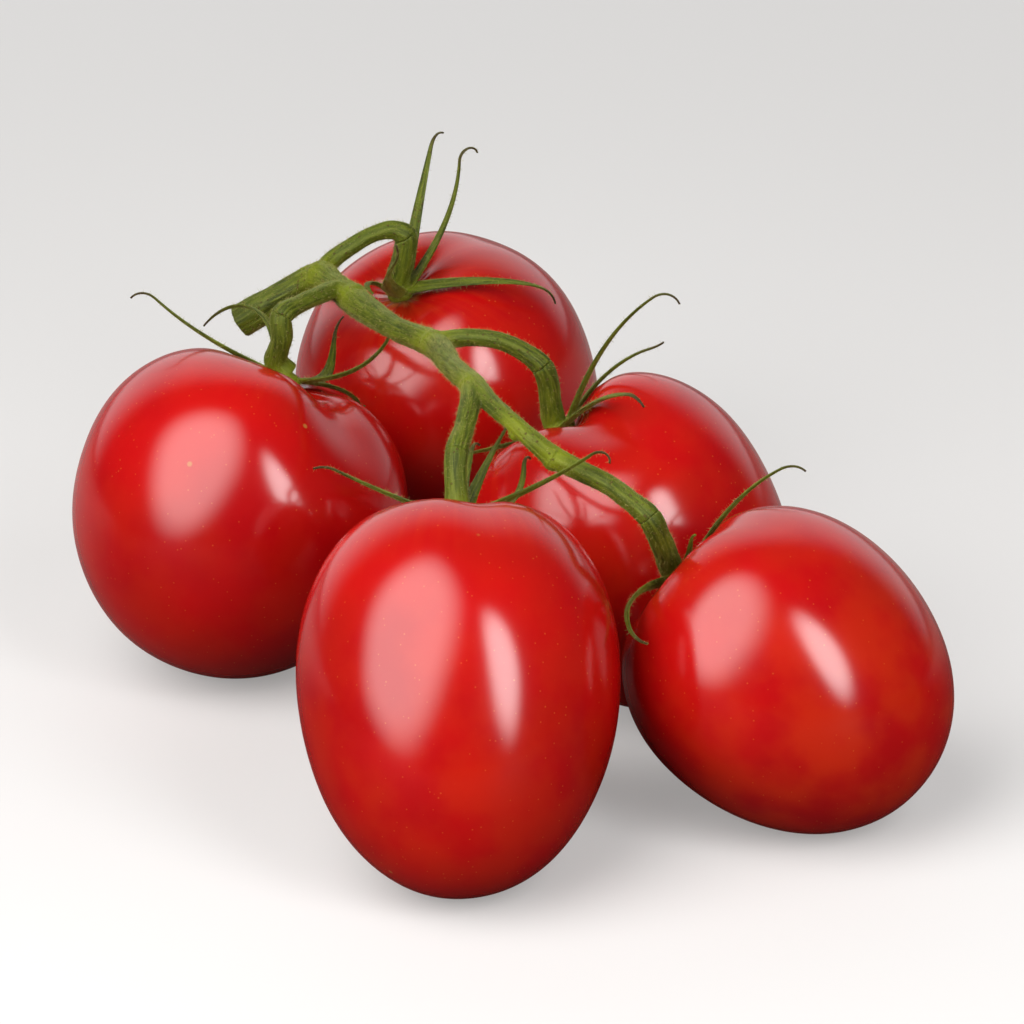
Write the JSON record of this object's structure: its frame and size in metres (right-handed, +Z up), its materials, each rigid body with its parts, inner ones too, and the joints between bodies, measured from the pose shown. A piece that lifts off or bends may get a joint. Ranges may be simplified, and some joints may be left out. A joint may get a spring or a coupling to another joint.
{
  "type": "truss of plum tomatoes",
  "caption": "Bunch of glossy red plum tomatoes on one hairy green stem, lying as picked: the stem arches over the fruits and joins each at a calyx of narrow curled sepals.",
  "frame": {"origin": "on the surface that the truss lies on, under the middle of its bounding box", "axes": "+X runs along the truss from the cut end of the stem to the last fruit, +Z is up from the surface"},
  "size_m": [0.2056, 0.1363, 0.0891],
  "materials": {
    "vine": "matt, fine pale hairs, lighter at the nodes",
    "calyx": "matt green blades, drying to brown at the curled tips",
    "tomato_skin": "smooth waxy gloss, tiny pale specks, faint orange mottling"
  },
  "bodies": {
    "root": {"vine": "vine", "calyx_1": "calyx", "calyx_2": "calyx", "calyx_3": "calyx", "calyx_4": "calyx", "calyx_5": "calyx", "tomato_1": "tomato_skin", "tomato_2": "tomato_skin", "tomato_3": "tomato_skin", "tomato_4": "tomato_skin", "tomato_5": "tomato_skin"}
  },
  "joints": []
}
